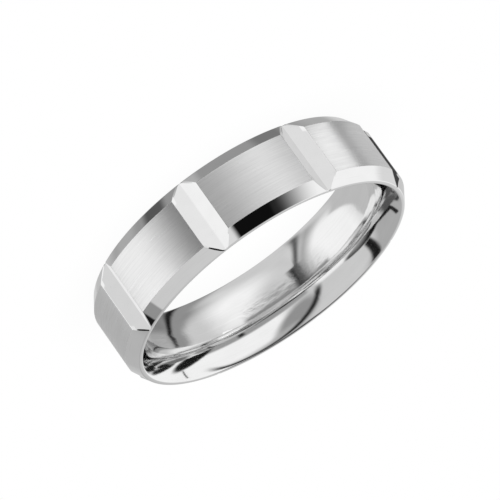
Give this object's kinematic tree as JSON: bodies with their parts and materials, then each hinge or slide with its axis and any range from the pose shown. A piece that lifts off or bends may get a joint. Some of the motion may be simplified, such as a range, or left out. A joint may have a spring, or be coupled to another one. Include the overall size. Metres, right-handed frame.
{
  "type": "wedding band",
  "caption": "One-piece white-metal finger ring with brushed crown panels split by V-shaped cross cuts, polished bevelled edges and a domed comfort-fit bore.",
  "frame": {"origin": "centre of the finger bore, midway between the two rims", "axes": "+Z along the finger bore, out of one rim (the ring lies flat); +X through the root of one V cut; the ring is the same seen from either rim"},
  "size_m": [0.0236, 0.0236, 0.006],
  "materials": {
    "white_gold": "rhodium-bright white gold: mirror-polished bevels, cross cuts, rims and bore, with the crown panels brushed satin along the ring's circumference"
  },
  "bodies": {
    "root": {"band": "white_gold"}
  },
  "joints": []
}
